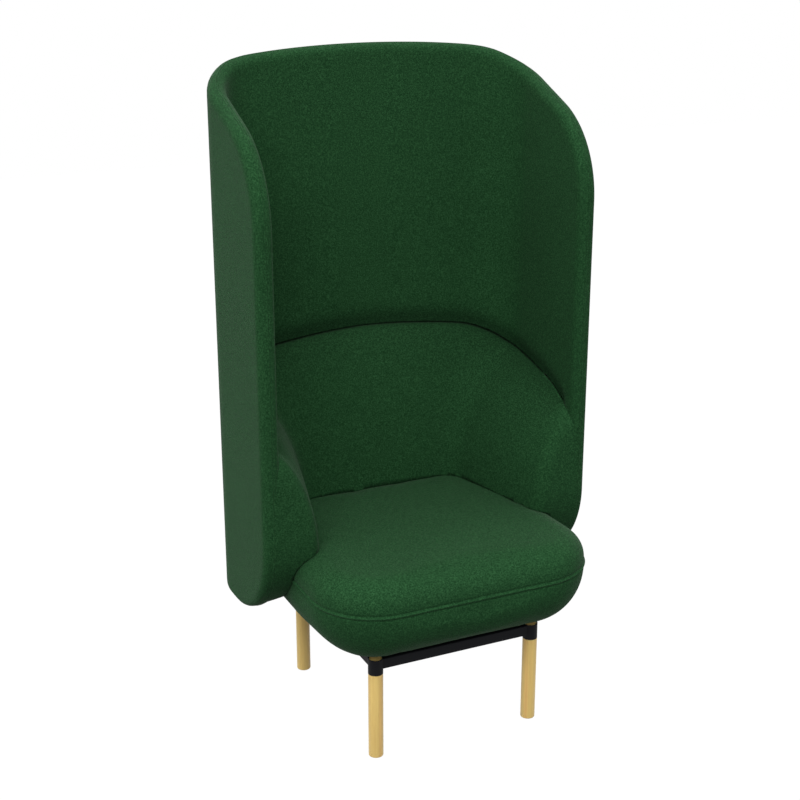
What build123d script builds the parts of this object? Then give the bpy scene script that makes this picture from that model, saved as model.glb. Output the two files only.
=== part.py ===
from build123d import *
import math
import os

# Acoustic high back lounge chair, in millimetres.
# X runs across the chair, -Y to its front and +Z up. The origin is on the floor, under the middle
# of the chair's outline.

# ---- driving sizes: whole chair ----
CHAIR_WIDTH = 776.0
CHAIR_DEPTH = 633.0
CHAIR_HEIGHT = 1473.0

# ---- driving sizes: legs and metal frame ----
LEG_DIAMETER = 30.0
LEG_SIDE_INSET = 197.5       # from the chair's outline to the middle of a leg
LEG_FRONT_INSET = 112.0
LEG_REAR_INSET = 95.0
LEG_FOOT_CHAMFER = 2.5
LEG_END_RECESS = 1.0         # the leg's top end lies this far below the collar's rim
LEG_FIT = 0.1                # radial clearance in the collar
GLIDE_DIAMETER = 20.0
GLIDE_THICKNESS = 4.0
GLIDE_PROUD = 1.0
GLIDE_STEM_DIAMETER = 6.0
GLIDE_STEM_LENGTH = 14.0
COLLAR_BOTTOM_Z = 203.0
COLLAR_HEIGHT = 36.5
COLLAR_WALL = 1.4
RAIL_WIDTH = 20.0
RAIL_HEIGHT = 25.0
RAIL_WALL = 2.0
RAIL_CORNER = 3.0
RAIL_DROP = 1.5              # rail top below the collar's rim
PLATE_THICKNESS = 3.0
PLATE_WIDTH = 36.0
PLATE_CORNER = 12.0
PLATE_REACH = 60.0           # from the rail's middle towards the seat's middle
PLATE_LEG_GAP = 63.0         # from the middle of a leg to the middle of its plate
GRUB_DIAMETER = 5.0
GRUB_LENGTH = 9.0

# ---- driving sizes: seat ----
SEAT_SIDE_GAP = 26.0         # between the seat and a wing
SEAT_REAR_GAP = 16.0         # from the shell's inside to the seat's back face
SEAT_BELLY = 138.0           # rounding of the lower edge
SEAT_SIDE = 11.0             # upright band between both roundings, with the seam in its middle
SEAT_SHOULDER = 54.0         # rounding of the upper edge
SEAT_CROWN = 8.0             # the top's middle is this much higher than its edge
SEAT_CORNER_EXTRA = 12.0     # plan radius of the front corners beyond the lower rounding
COVER = 1.5                  # fabric

# ---- driving sizes: wooden seat frame ----
DECK_THICKNESS = 18.0
DECK_SIDE_MARGIN = 86.0      # from the seat's side
DECK_FRONT_MARGIN = 80.0
DECK_REAR_MARGIN = 37.0
DECK_CORNER = 80.0
BEARER_HEIGHT = 19.5
BEARER_WIDTH = 40.0
BEARER_FRONT_MARGIN = 3.0    # behind the front end of the seat's flat underside
BEARER_REAR_MARGIN = 23.0    # in front of the deck's rear edge
BOARD_THICKNESS = 18.0
BOARD_HEIGHT = 65.0
SCREW_DIAMETER = 4.0
SCREW_HEAD = 8.0
SCREW_LENGTH = 38.0
SCREW_PITCH = 110.0

# ---- driving sizes: seat bolts ----
BOLT_DIAMETER = 8.0
BOLT_HOLE = 8.6
BOLT_HEAD = 13.0
BOLT_HEAD_HEIGHT = 5.0
BOLT_HEAD_CHAMFER = 1.5
BOLT_SOCKET = 2.5            # half the width across the socket's flats
WASHER_DIAMETER = 20.0
WASHER_THICKNESS = 1.6
TEE_FLANGE = 22.0
TEE_FLANGE_THICKNESS = 1.5
TEE_BARREL = 10.5
TEE_LENGTH = 11.0

# ---- driving sizes: shell ----
SHELL_WALL = 36.0
SHELL_BOTTOM_RISE = 39.0     # its lower edge above the seat's underside
WING_DEPTH = 406.0           # from the wings' front edges to the chair's back
SHELL_BOW = 1900.0           # plan radius of the back
SHELL_CORNER = 150.0         # plan radius where the back turns into the wings
RIM_SLOPE = 22.4             # fall of the wing's top edge towards the front, in degrees
RIM_REAR_BLEND = 120.0       # where that slope runs out into the back's top edge
RIM_LEVEL = 27.0             # the top edge is level up to this far in front of the chair's back
RIM_FRONT_CORNER = 215.0     # upper front corner of the wing
RIM_LOW_CORNER = 218.0       # lower front corner of the wing
RIM_CROWN_DROP = 26.0        # the top edge is this much lower at the sides than in the middle
RIM_FLAT = 2.0               # left between both roundings of the wall's edge
CORE_THICKNESS = 12.0

# ---- driving sizes: inner pad ----
PAD_RISE = 382.0             # from the seat's edge to the pad's top at the middle of the back
PAD_SLOPE = 15.5             # fall of the arm's upper edge, in degrees
PAD_FRONT_CORNER = 110.0
PAD_CROWN_DROP = 40.0
PAD_BOTTOM_GAP = 8.0         # above the shell's lower edge
PAD_NOSE_GAP = 2.0           # behind the wing's front edge
PAD_BACK = 76.0              # thickness of the backrest at the seat's edge
PAD_ARM_REAR = 142.0         # thickness of the arm there, at its rear
PAD_ARM_FRONT = 90.0         # thickness of the arm there, near its front
PAD_ARM_REAR_OFFSET = 149.0  # where the first is measured, in front of the shell's inside
PAD_ARM_FRONT_OFFSET = 17.0  # where the second is measured, behind the wing's front edge
PAD_ARM_REAR_RISE = 316.0    # from the seat's edge to where the arm has thinned out, at its rear
PAD_ARM_FRONT_RISE = 252.0   # the same near its front
PAD_EDGE = 14.0              # thickness left at the upper edge
PAD_CORNER_LOW = 62.0        # plan radius between backrest and arm, at the seat
PAD_CORNER_HIGH = 110.0      # the same at the top of the backrest
PAD_SECTIONS = 5             # plan sections that shape the sitter's space
PAD_FRONT_ROUND = 38.0       # plan radius of the arm's front
SOFT_GAP = 0.3               # between soft pieces that lie against each other

# ---- driving sizes: bolts between seat and shell ----
SPACER_DIAMETER = 20.0
SHELL_BOLT_RISE = 42.0       # above the deck
SHELL_BOLT_SETBACKS = (180.5, 240.5)  # of the side bolts, from the chair's back
SHELL_BOLT_REAR_X = 105.0

# ---- worked out from the sizes above ----
HALF_WIDTH = CHAIR_WIDTH / 2
BACK_Y = CHAIR_DEPTH / 2
FRONT_Y = -CHAIR_DEPTH / 2
LEG_SPACING_X = CHAIR_WIDTH - 2 * LEG_SIDE_INSET
LEG_SPACING_Y = CHAIR_DEPTH - LEG_FRONT_INSET - LEG_REAR_INSET
LEG_SHIFT_Y = (LEG_FRONT_INSET - LEG_REAR_INSET) / 2
COLLAR_RADIUS = LEG_DIAMETER / 2 + LEG_FIT + COLLAR_WALL
COLLAR_TOP_Z = COLLAR_BOTTOM_Z + COLLAR_HEIGHT
RAIL_TOP_Z = COLLAR_TOP_Z - RAIL_DROP
PLATE_TOP_Z = RAIL_TOP_Z + PLATE_THICKNESS
LEG_TOP_Z = COLLAR_TOP_Z - LEG_END_RECESS
SHELL_INNER_X = HALF_WIDTH - SHELL_WALL
SHELL_INNER_Y = BACK_Y - SHELL_WALL
SHELL_NOSE_Y = BACK_Y - WING_DEPTH
SEAT_WIDTH = 2 * (SHELL_INNER_X - SEAT_SIDE_GAP)
SEAT_REAR_Y = SHELL_INNER_Y - SEAT_REAR_GAP
SEAT_CORNER = SEAT_BELLY + SEAT_CORNER_EXTRA
SEAT_BOTTOM_Z = PLATE_TOP_Z
SEAT_SEAM_Z = SEAT_BOTTOM_Z + SEAT_BELLY + SEAT_SIDE / 2
SEAT_EDGE_Z = SEAT_BOTTOM_Z + SEAT_BELLY + SEAT_SIDE + SEAT_SHOULDER
SEAT_CROWN_Z = SEAT_EDGE_Z + SEAT_CROWN
SEAT_INNER_Z = SEAT_BOTTOM_Z + COVER
SEAT_BOLT_X = LEG_SPACING_X / 2 - PLATE_REACH + PLATE_WIDTH / 2
SEAT_BOLT_Y = LEG_SPACING_Y / 2 - PLATE_LEG_GAP
DECK_BOTTOM_Z = SEAT_INNER_Z + BEARER_HEIGHT
DECK_TOP_Z = DECK_BOTTOM_Z + DECK_THICKNESS
DECK_WIDTH = SEAT_WIDTH - 2 * DECK_SIDE_MARGIN
DECK_FRONT_Y = FRONT_Y + DECK_FRONT_MARGIN
DECK_REAR_Y = SEAT_REAR_Y - DECK_REAR_MARGIN
DECK_LENGTH = DECK_REAR_Y - DECK_FRONT_Y
DECK_MIDDLE_Y = (DECK_FRONT_Y + DECK_REAR_Y) / 2
BOARD_X = DECK_WIDTH / 2 - BOARD_THICKNESS / 2
BOARD_Y = DECK_LENGTH / 2 - BOARD_THICKNESS / 2
SHELL_BOTTOM_Z = SEAT_BOTTOM_Z + SHELL_BOTTOM_RISE
RIM_ROUND = (SHELL_WALL - RIM_FLAT) / 2
CORE_INNER_DEPTH = (SHELL_WALL + CORE_THICKNESS) / 2
CORE_OUTER_DEPTH = (SHELL_WALL - CORE_THICKNESS) / 2
PAD_TOP_Z = SEAT_EDGE_Z + PAD_RISE
PAD_ARM_REAR_Y = SHELL_INNER_Y - PAD_ARM_REAR_OFFSET
PAD_ARM_FRONT_Y = SHELL_NOSE_Y + PAD_ARM_FRONT_OFFSET
SHELL_BOLT_Z = DECK_TOP_Z + SHELL_BOLT_RISE
FAR = 3 * CHAIR_HEIGHT       # reach of cutting bodies

LEG_PLACES = {
    "front_left": (-LEG_SPACING_X / 2, LEG_SHIFT_Y - LEG_SPACING_Y / 2),
    "front_right": (LEG_SPACING_X / 2, LEG_SHIFT_Y - LEG_SPACING_Y / 2),
    "rear_left": (-LEG_SPACING_X / 2, LEG_SHIFT_Y + LEG_SPACING_Y / 2),
    "rear_right": (LEG_SPACING_X / 2, LEG_SHIFT_Y + LEG_SPACING_Y / 2),
}


def rod(radius, bottom, top, x=0.0, y=0.0):
    """Upright cylinder from one height to another."""
    return Pos(x, y, (bottom + top) / 2) * Cylinder(radius, top - bottom)


def block(x_range, y_range, z_range):
    """Box between two corners."""
    sizes = [high - low for low, high in (x_range, y_range, z_range)]
    middles = [(high + low) / 2 for low, high in (x_range, y_range, z_range)]
    return Pos(*middles) * Box(*sizes)


def at_slope(centre, radius, degrees):
    """Point on a circle in the side view, which has Y across and Z up."""
    angle = math.radians(degrees)
    return (0, centre[0] + radius * math.cos(angle), centre[1] + radius * math.sin(angle))


# ---- legs and metal frame ----

def leg(place):
    """Round wooden leg with a chamfered foot, bored for its glide and grub screw."""
    x, y = LEG_PLACES[place]
    body = rod(LEG_DIAMETER / 2, GLIDE_PROUD, LEG_TOP_Z, x, y)
    foot = body.edges().sort_by(Axis.Z)[0]
    return chamfer(foot, LEG_FOOT_CHAMFER) - glide(place) - grub_screw(place)


def glide(place):
    """Hard plastic disc with a stem, let into the end of a leg."""
    x, y = LEG_PLACES[place]
    disc = rod(GLIDE_DIAMETER / 2, 0, GLIDE_THICKNESS, x, y)
    disc = chamfer(disc.edges().sort_by(Axis.Z)[0], GLIDE_PROUD / 2)
    return disc + rod(GLIDE_STEM_DIAMETER / 2, 0, GLIDE_THICKNESS + GLIDE_STEM_LENGTH, x, y)


def collar(place):
    """Steel collar that the leg passes through, welded to two rails."""
    x, y = LEG_PLACES[place]
    tube = rod(COLLAR_RADIUS, COLLAR_BOTTOM_Z, COLLAR_TOP_Z, x, y)
    bore = rod(LEG_DIAMETER / 2 + LEG_FIT, COLLAR_BOTTOM_Z, COLLAR_TOP_Z, x, y)
    return tube - bore - grub_screw(place)


def grub_screw(place):
    """Screw through the collar into the leg, below the rails and facing the chair's middle."""
    x, y = LEG_PLACES[place]
    inward = Vector(-x, LEG_SHIFT_Y - y, 0).normalized()
    height = (COLLAR_BOTTOM_Z + RAIL_TOP_Z - RAIL_HEIGHT) / 2
    outer_end = Vector(x, y, height) + inward * COLLAR_RADIUS
    plane = Plane(origin=outer_end, z_dir=inward * -1)
    return extrude(plane * Circle(GRUB_DIAMETER / 2), GRUB_LENGTH)


def rail(start, end):
    """Square steel tube between two collars, coped to fit round them."""
    a = Vector(*LEG_PLACES[start], RAIL_TOP_Z - RAIL_HEIGHT / 2)
    b = Vector(*LEG_PLACES[end], RAIL_TOP_Z - RAIL_HEIGHT / 2)
    along = (b - a).normalized()
    plane = Plane(origin=a, x_dir=Vector(0, 0, 1).cross(along), z_dir=along)
    inner = Rectangle(RAIL_WIDTH - 2 * RAIL_WALL, RAIL_HEIGHT - 2 * RAIL_WALL)
    section = RectangleRounded(RAIL_WIDTH, RAIL_HEIGHT, RAIL_CORNER) - inner
    tube = extrude(plane * section, (b - a).length)
    for place in (start, end):
        tube -= rod(COLLAR_RADIUS, COLLAR_BOTTOM_Z, COLLAR_TOP_Z, *LEG_PLACES[place])
    return tube


def seat_bolt_places():
    """Plan positions of the four bolts that hold the seat on its plates."""
    return [(sx * SEAT_BOLT_X, LEG_SHIFT_Y + sy * SEAT_BOLT_Y) for sx in (-1, 1) for sy in (-1, 1)]


def mounting_plates():
    """Flat plates welded on the side rails, each with one bolt hole."""
    plates = []
    for x, y in seat_bolt_places():
        side = math.copysign(1, x)
        rail_x = side * (LEG_SPACING_X / 2 + RAIL_WIDTH / 2)
        free_x = side * (LEG_SPACING_X / 2 - PLATE_REACH)
        along = (y - PLATE_WIDTH / 2, y + PLATE_WIDTH / 2)
        plate = block(sorted((rail_x, free_x)), along, (RAIL_TOP_Z, PLATE_TOP_Z))
        corners = [e for e in plate.edges().filter_by(Axis.Z) if abs(e.center().X) < LEG_SPACING_X / 2]
        plate = fillet(corners, PLATE_CORNER)
        plates.append(plate - rod(BOLT_HOLE / 2, RAIL_TOP_Z, PLATE_TOP_Z, x, y))
    return plates


# ---- bolts, washers and tee nuts, made upright and then placed ----

def bolt_head():
    """Plain cylinder of a bolt's head, below the plane."""
    return rod(BOLT_HEAD / 2, -BOLT_HEAD_HEIGHT, 0)


def bolt(length):
    """Socket bolt with a chamfered head. Its head seats on the plane, its shank points along +Z."""
    head = bolt_head()
    head = chamfer(head.edges().sort_by(Axis.Z)[0], BOLT_HEAD_CHAMFER)
    socket = extrude(Pos(0, 0, -BOLT_HEAD_HEIGHT) * RegularPolygon(BOLT_SOCKET, 6, major_radius=False),
                     BOLT_HEAD_HEIGHT / 2)
    return head + rod(BOLT_DIAMETER / 2, 0, length) - socket


def washer():
    """Flat washer on the plane's upper side."""
    return rod(WASHER_DIAMETER / 2, 0, WASHER_THICKNESS) - rod(BOLT_HOLE / 2, 0, WASHER_THICKNESS)


def tee_nut():
    """Nut pressed into wood: flange on the plane's upper side, barrel below it."""
    flange = rod(TEE_FLANGE / 2, 0, TEE_FLANGE_THICKNESS)
    body = flange + rod(TEE_BARREL / 2, -TEE_LENGTH, TEE_FLANGE_THICKNESS)
    return body - rod(BOLT_DIAMETER / 2, -TEE_LENGTH, TEE_FLANGE_THICKNESS)


SEAT_WASHER_Z = RAIL_TOP_Z - WASHER_THICKNESS
SEAT_BOLT_LENGTH = DECK_TOP_Z + TEE_FLANGE_THICKNESS - SEAT_WASHER_Z


def frame_bolts():
    """Bolts from below through plate, bearer and deck."""
    return [Pos(x, y, SEAT_WASHER_Z) * bolt(SEAT_BOLT_LENGTH) for x, y in seat_bolt_places()]


def frame_washers():
    """Washers between bolt heads and plates."""
    return [Pos(x, y, SEAT_WASHER_Z) * washer() for x, y in seat_bolt_places()]


def frame_tee_nuts():
    """Tee nuts on the deck's upper side."""
    return [Pos(x, y, DECK_TOP_Z) * tee_nut() for x, y in seat_bolt_places()]


def seat_bolt_holes():
    """Holes for the bolts and tee nut barrels through the seat's wood and dust cover."""
    holes = []
    for x, y in seat_bolt_places():
        holes.append(rod(BOLT_HOLE / 2, SEAT_BOTTOM_Z, DECK_TOP_Z, x, y))
        holes.append(rod(TEE_BARREL / 2, DECK_TOP_Z - TEE_LENGTH, DECK_TOP_Z, x, y))
    return holes


# ---- wooden seat frame ----

def seat_deck():
    """Plywood deck with rounded corners, bored for bolts and screws."""
    plan = Pos(0, DECK_MIDDLE_Y) * RectangleRounded(DECK_WIDTH, DECK_LENGTH, DECK_CORNER)
    deck = Pos(0, 0, DECK_BOTTOM_Z) * extrude(plan, DECK_THICKNESS)
    return deck - seat_bolt_holes() - deck_screws()


def seat_bearer(side):
    """Hardwood batten under the deck, which stands on two plates."""
    x = side * SEAT_BOLT_X
    y = (FRONT_Y + SEAT_BELLY + BEARER_FRONT_MARGIN, DECK_REAR_Y - BEARER_REAR_MARGIN)
    batten = block((x - BEARER_WIDTH / 2, x + BEARER_WIDTH / 2), y, (SEAT_INNER_Z, DECK_BOTTOM_Z))
    return batten - seat_bolt_holes()


def side_board(side):
    """Upright board on the deck, which takes the bolts from one wing."""
    x = side * BOARD_X
    half = DECK_LENGTH / 2 - DECK_CORNER
    y = (DECK_MIDDLE_Y - half, DECK_MIDDLE_Y + half)
    z = (DECK_TOP_Z, DECK_TOP_Z + BOARD_HEIGHT)
    board = block((x - BOARD_THICKNESS / 2, x + BOARD_THICKNESS / 2), y, z)
    return board - shell_bolt_holes() - deck_screws()


def cross_board(side):
    """Upright board across the front (side -1) or the rear (side 1) of the deck."""
    y = DECK_MIDDLE_Y + side * BOARD_Y
    half = DECK_WIDTH / 2 - DECK_CORNER
    z = (DECK_TOP_Z, DECK_TOP_Z + BOARD_HEIGHT)
    board = block((-half, half), (y - BOARD_THICKNESS / 2, y + BOARD_THICKNESS / 2), z)
    return board - shell_bolt_holes() - deck_screws()


def deck_screws():
    """Countersunk screws from below through the deck into the four boards."""
    places = []
    for side in (-1, 1):
        for step in (-1, 0, 1):
            places.append((side * BOARD_X, DECK_MIDDLE_Y + step * SCREW_PITCH))
            places.append((step * SCREW_PITCH, DECK_MIDDLE_Y + side * BOARD_Y))
    screws = []
    head_height = (SCREW_HEAD - SCREW_DIAMETER) / 2
    for x, y in places:
        shank = rod(SCREW_DIAMETER / 2, DECK_BOTTOM_Z, DECK_BOTTOM_Z + SCREW_LENGTH, x, y)
        cone_middle = Pos(x, y, DECK_BOTTOM_Z + head_height / 2)
        screws.append(shank + cone_middle * Cone(SCREW_HEAD / 2, SCREW_DIAMETER / 2, head_height))
    return screws


# ---- shell ----

def shell_plan(inset, front):
    """Plan of the shell's outside moved inwards, closed at a straight front line."""
    corner_x = HALF_WIDTH - SHELL_CORNER
    bow_y = BACK_Y - SHELL_BOW
    corner_y = bow_y + math.sqrt((SHELL_BOW - SHELL_CORNER) ** 2 - corner_x ** 2)
    turn = math.atan2(corner_y - bow_y, corner_x)
    radius = SHELL_CORNER - inset
    back_end = Vector(0, bow_y) + Vector(math.cos(turn), math.sin(turn)) * (SHELL_BOW - inset)
    corner_mid = Vector(corner_x + radius * math.cos(turn / 2), corner_y + radius * math.sin(turn / 2))
    side_end = Vector(corner_x + radius, corner_y)
    front_end = Vector(corner_x + radius, front)
    half = [ThreePointArc(back_end, corner_mid, side_end), Line(side_end, front_end)]
    other = [edge.mirror(Plane.YZ) for edge in half]
    back = ThreePointArc(back_end, (0, BACK_Y - inset), (-back_end.X, back_end.Y))
    closing = Line(front_end, (-front_end.X, front))
    return make_face(Curve() + [back, closing] + half + other)


def side_outline(nose_y, rear_y, top_z, slope, blend, front_corner, bottom_z, low_corner):
    """Side view of a wing: upright nose, rounded corners, and a top that rises to rear_y."""
    blend_centre = (rear_y, top_z - blend)
    blend_start = at_slope(blend_centre, blend, 90 + slope)
    centre_y = nose_y + front_corner
    tilt = math.radians(slope)
    fall = (blend_start[1] - centre_y) * math.tan(tilt)
    centre_z = blend_start[2] - fall - front_corner / math.cos(tilt)
    corner = (centre_y, centre_z)
    low = (nose_y + low_corner, bottom_z + low_corner)
    far_y = BACK_Y + SHELL_WALL
    slope_end = at_slope(corner, front_corner, 90 + slope)
    nose_top = at_slope(corner, front_corner, 180)
    nose_bottom = at_slope(low, low_corner, 180)
    belly = at_slope(low, low_corner, 270)
    return make_face(Curve() + [
        Line((0, far_y, top_z), (0, rear_y, top_z)),
        ThreePointArc((0, rear_y, top_z), at_slope(blend_centre, blend, 90 + slope / 2), blend_start),
        Line(blend_start, slope_end),
        ThreePointArc(slope_end, at_slope(corner, front_corner, 135 + slope / 2), nose_top),
        Line(nose_top, nose_bottom),
        ThreePointArc(nose_bottom, at_slope(low, low_corner, 225), belly),
        Line(belly, (0, far_y, bottom_z)),
        Line((0, far_y, bottom_z), (0, far_y, top_z)),
    ])


def crowned_body(outline, plan, crown_drop):
    """Upright plan area cut by a side view. In its upper half the cut also falls towards both sides."""
    crown_radius = HALF_WIDTH ** 2 / (2 * crown_drop)
    box = outline.bounding_box()
    split = box.center().Z
    axis = Axis((0, 0, box.max.Z - crown_radius), (0, 1, 0))
    half_turn = math.degrees(CHAIR_WIDTH / crown_radius)
    window = Plane.YZ * Pos(0, split + FAR / 2) * Rectangle(FAR, FAR)
    upper = revolve((outline & window).rotate(axis, -half_turn), axis, 2 * half_turn)
    lower = extrude(outline - window, CHAIR_WIDTH, both=True)
    upper_plan = Pos(0, 0, split) * extrude(plan, FAR)
    lower_plan = extrude(plan, split)
    return ((upper & upper_plan) + (lower & lower_plan)).clean()


def shell_wall(inset, rounded=True):
    """The shell's wall with every face moved inwards, and its whole rim made half round."""
    outline = side_outline(
        SHELL_NOSE_Y, BACK_Y - RIM_LEVEL, CHAIR_HEIGHT, RIM_SLOPE, RIM_REAR_BLEND, RIM_FRONT_CORNER,
        SHELL_BOTTOM_Z, RIM_LOW_CORNER)
    if inset > 0:
        outline = offset(outline, -inset)
    front = SHELL_NOSE_Y - SHELL_WALL
    ring = shell_plan(inset, front) - shell_plan(SHELL_WALL - inset, front - SHELL_WALL)
    wall = crowned_body(outline, ring, RIM_CROWN_DROP)
    if not rounded:
        return wall
    nose_y = SHELL_NOSE_Y + inset
    long_edges = [e for e in wall.edges() if e.length > 2 * RIM_ROUND + SHELL_WALL]
    rim = [e for e in long_edges if not is_wall_upright(e, nose_y)]
    return fillet(rim, RIM_ROUND - inset)


def is_wall_upright(edge, nose_y):
    """True for the upright lines where the back's and the wings' faces meet."""
    if edge.geom_type != GeomType.LINE:
        return False
    upright = abs((edge @ 1 - edge @ 0).normalized().Z) > 0.999
    return upright and edge.center().Y > nose_y + SHELL_WALL / 2


def inside_of_wall(depth):
    """Everything on the inner side of a surface that lies this deep in the wall."""
    return extrude(shell_plan(depth, SHELL_NOSE_Y - 2 * SHELL_WALL), FAR)


# ---- bolts between seat and shell ----

def shell_bolt_planes():
    """Planes on the boards' outer faces, pointing outwards to the shell's core."""
    planes = []
    for side in (-1, 1):
        for setback in SHELL_BOLT_SETBACKS:
            origin = (side * DECK_WIDTH / 2, BACK_Y - setback, SHELL_BOLT_Z)
            planes.append(Plane(origin=origin, z_dir=(side, 0, 0)))
        rear = (side * SHELL_BOLT_REAR_X, DECK_REAR_Y, SHELL_BOLT_Z)
        planes.append(Plane(origin=rear, z_dir=(0, 1, 0)))
    return planes


def core_distance(plane):
    """From a bolt's plane to the outer face of the core."""
    if plane.z_dir.X != 0:
        return HALF_WIDTH - CORE_OUTER_DEPTH - abs(plane.origin.X)
    reach = math.sqrt((SHELL_BOW - CORE_OUTER_DEPTH) ** 2 - plane.origin.X ** 2)
    return BACK_Y - SHELL_BOW + reach - plane.origin.Y


def shell_spacers():
    """Steel tubes between the boards and the core, which the bolts clamp."""
    tube_section = Circle(SPACER_DIAMETER / 2) - Circle(BOLT_HOLE / 2)
    return [spacer_shape(plane, tube_section) for plane in shell_bolt_planes()]


def spacer_shape(plane, section):
    """A section run out from a board to the core and cut to the core's inner face."""
    return extrude(plane * section, core_distance(plane)) & inside_of_wall(CORE_INNER_DEPTH)


def shell_bolts():
    """Long bolts from inside the seat through board, spacer and core."""
    bolts = []
    for plane in shell_bolt_planes():
        start = plane.offset(-BOARD_THICKNESS - WASHER_THICKNESS)
        bolts.append(start * bolt(BOARD_THICKNESS + WASHER_THICKNESS + core_distance(plane)))
    return bolts


def shell_bolt_heads():
    """Room for those bolts' heads in the seat's foam, without their sockets."""
    return [plane.offset(-BOARD_THICKNESS - WASHER_THICKNESS) * bolt_head() for plane in shell_bolt_planes()]


def shell_washers():
    """Washers between those bolts' heads and the boards."""
    return [plane.offset(-BOARD_THICKNESS - WASHER_THICKNESS) * washer() for plane in shell_bolt_planes()]


def shell_tee_nuts():
    """Tee nuts on the core's outer face."""
    return [plane.offset(core_distance(plane)) * tee_nut() for plane in shell_bolt_planes()]


def shell_bolt_holes():
    """Bolt and tee nut holes through washers, boards and core."""
    holes = []
    for plane in shell_bolt_planes():
        outer = core_distance(plane)
        depth = BOARD_THICKNESS + WASHER_THICKNESS
        holes.append(extrude(plane.offset(-depth) * Circle(BOLT_HOLE / 2), depth + outer))
        barrel_hole = extrude(Circle(TEE_BARREL / 2), TEE_LENGTH + TEE_FLANGE_THICKNESS)
        holes.append(plane.offset(outer - TEE_LENGTH) * barrel_hole)
    return holes


def spacer_paths():
    """Space that the spacers take up in foam and fabric."""
    return [spacer_shape(plane, Circle(SPACER_DIAMETER / 2)) for plane in shell_bolt_planes()]


# ---- seat ----

def seat_body(inset):
    """Crowned seat block with every face moved inwards: deep belly, soft shoulder, rear cut to the shell."""
    half = SEAT_WIDTH / 2 - inset
    front = FRONT_Y + inset
    bottom = SEAT_BOTTOM_Z + inset
    plan = make_face(Polyline((-half, front), (half, front), (half, BACK_Y), (-half, BACK_Y), close=True))
    plan = fillet(plan.vertices().group_by(Axis.Y)[0], SEAT_CORNER - inset)
    prism = Pos(0, 0, bottom) * extrude(plan, CHAIR_HEIGHT - bottom)
    crown_radius = ((SEAT_WIDTH / 2) ** 2 + SEAT_CROWN ** 2) / (2 * SEAT_CROWN)
    middle_y = (FRONT_Y + SEAT_REAR_Y) / 2
    # the ball's poles point sideways, so that its seam and poles stay off the seat
    ball = Rot(0, 90, 0) * Sphere(crown_radius - inset)
    prism &= Pos(0, middle_y, SEAT_CROWN_Z - crown_radius) * ball
    belly = prism.faces().sort_by(Axis.Z)[0].edges().sort_by(Axis.Y)[:-1]
    prism = fillet(belly, SEAT_BELLY - inset)
    shoulder = prism.faces().sort_by(Axis.Z)[-1].edges().sort_by(Axis.Y)[:-1]
    prism = fillet(shoulder, SEAT_SHOULDER - inset)
    rear = shell_plan(SHELL_WALL + SEAT_REAR_GAP + inset, FRONT_Y - SEAT_CORNER)
    return prism & extrude(rear, CHAIR_HEIGHT)


def below(height):
    """Everything below a height."""
    return block((-FAR, FAR), (-FAR, FAR), (-FAR, height))


# ---- inner pad ----

def thickness(at_seat, rise, height):
    """Pad thickness at a height: full at the seat's edge, rolled over to PAD_EDGE after the rise."""
    share = (height - SEAT_EDGE_Z) / rise
    return PAD_EDGE + (at_seat - PAD_EDGE) * (1 - share ** 2)


def pad_hollow_section(height, inset):
    """Plan of the sitter's space at one height, between backrest and arms and open to the front."""
    back = SHELL_INNER_Y - thickness(PAD_BACK, PAD_RISE, height) + inset
    rear_x = SHELL_INNER_X - thickness(PAD_ARM_REAR, PAD_ARM_REAR_RISE, height) + inset
    front_x = SHELL_INNER_X - thickness(PAD_ARM_FRONT, PAD_ARM_FRONT_RISE, height) + inset
    flare = (front_x - rear_x) / (PAD_ARM_REAR_Y - PAD_ARM_FRONT_Y)
    nose = SHELL_NOSE_Y + PAD_NOSE_GAP + inset
    corner_x = rear_x - flare * (back - PAD_ARM_REAR_Y)
    nose_x = front_x + flare * (PAD_ARM_FRONT_Y - nose)
    corner_y = back - SHELL_BOW + math.sqrt(SHELL_BOW ** 2 - corner_x ** 2)
    half = [(corner_x, corner_y), (nose_x, nose), (CHAIR_WIDTH, nose), (CHAIR_WIDTH, FRONT_Y)]
    outline = half + [(-x, y) for x, y in reversed(half)]
    back_edge = ThreePointArc(outline[-1], (0, back), outline[0])
    face = make_face(Curve() + [back_edge, Polyline(*outline)])
    rise = (height - SEAT_EDGE_Z) / PAD_RISE
    corner_radius = PAD_CORNER_LOW + (PAD_CORNER_HIGH - PAD_CORNER_LOW) * rise
    face = fillet(face.vertices().group_by(Axis.Y)[-1], corner_radius + inset)
    inner_front = [v for v in face.vertices() if abs(abs(v.X) - nose_x) < SOFT_GAP]
    return Pos(0, 0, height) * fillet(inner_front, PAD_FRONT_ROUND - inset)


def pad_hollow(inset):
    """The sitter's space: sections lofted from the seat to the pad's upper edge, open above."""
    step = PAD_RISE / (PAD_SECTIONS - 1)
    sections = [pad_hollow_section(SEAT_EDGE_Z + number * step, inset) for number in range(PAD_SECTIONS)]
    low = extrude(sections[0], -SEAT_EDGE_Z)
    high = extrude(sections[-1], CHAIR_HEIGHT)
    return loft(sections) + low + high


def pad_body(inset):
    """Backrest and arm pads in one U, with every face moved inwards."""
    outline = side_outline(
        SHELL_NOSE_Y + PAD_NOSE_GAP, SHELL_INNER_Y, PAD_TOP_Z, PAD_SLOPE, RIM_REAR_BLEND, PAD_FRONT_CORNER,
        SHELL_BOTTOM_Z + PAD_BOTTOM_GAP, RIM_LOW_CORNER - PAD_BOTTOM_GAP)
    if inset > 0:
        outline = offset(outline, -inset)
    plan = shell_plan(SHELL_WALL + SOFT_GAP + inset, SHELL_NOSE_Y - SHELL_WALL)
    body = crowned_body(outline, plan, PAD_CROWN_DROP)
    return body - pad_hollow(inset) - seat_body(-SOFT_GAP - inset)


# ---- export ----

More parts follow.
